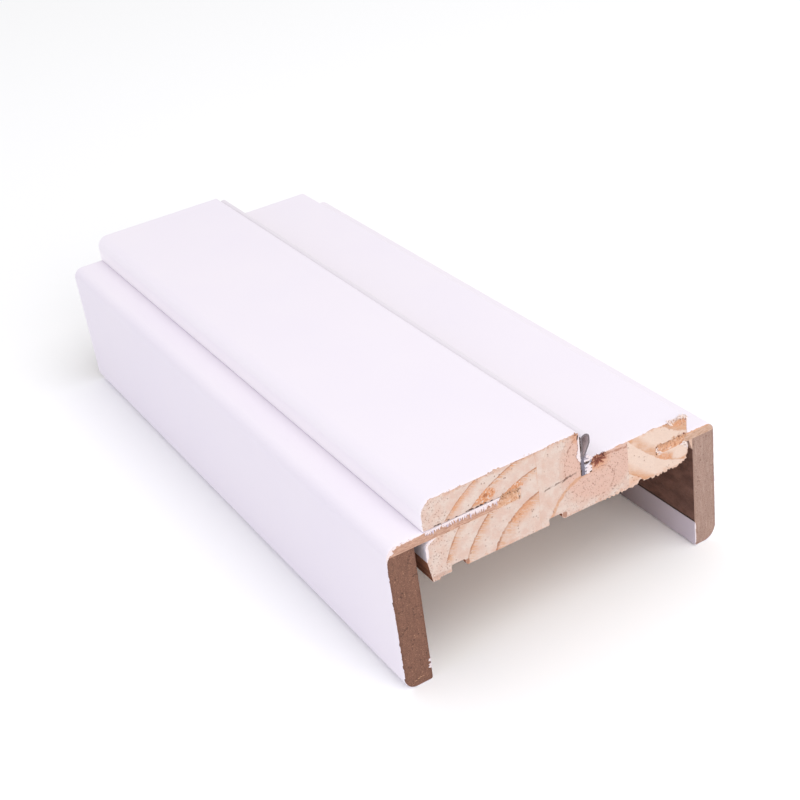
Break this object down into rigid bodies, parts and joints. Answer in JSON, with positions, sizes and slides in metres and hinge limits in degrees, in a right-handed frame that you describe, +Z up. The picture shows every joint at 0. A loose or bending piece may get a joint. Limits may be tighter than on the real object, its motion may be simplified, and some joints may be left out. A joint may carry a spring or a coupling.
{
  "type": "door jamb length with telescopic and fixed architrave mouldings",
  "caption": "White-wrapped rebated door jamb length with a soft stop seal, a glued architrave and a slide-in telescopic architrave.",
  "frame": {"origin": "middle of the footprint, at the level of the floor that the two architraves stand on", "axes": "+Y along the moulding, away from the cut end that the picture shows; +Z up, out of the jamb's face towards the door opening; +X from the telescopic architrave to the fixed one, so the door rebate is on the +X side"},
  "size_m": [0.1242, 0.265, 0.064],
  "materials": {
    "pine_core": "matte",
    "fibreboard": "matte",
    "hardboard_tongue": "matte",
    "soft_seal": "satin",
    "white_foil": "satin"
  },
  "bodies": {
    "jamb": {"jamb_left_strip": "pine_core", "jamb_middle_strip": "pine_core", "jamb_right_strip": "pine_core", "door_seal": "soft_seal", "fixed_tongue": "hardboard_tongue", "fixed_face_board": "fibreboard"},
    "telescopic_architrave": {"telescopic_tongue": "hardboard_tongue", "telescopic_face_board": "fibreboard"}
  },
  "joints": [
    {"name": "architrave_slide", "type": "slide", "parent": "jamb", "child": "telescopic_architrave", "axis": [-1, 0, 0], "range_m": [0, 0.02]}
  ]
}
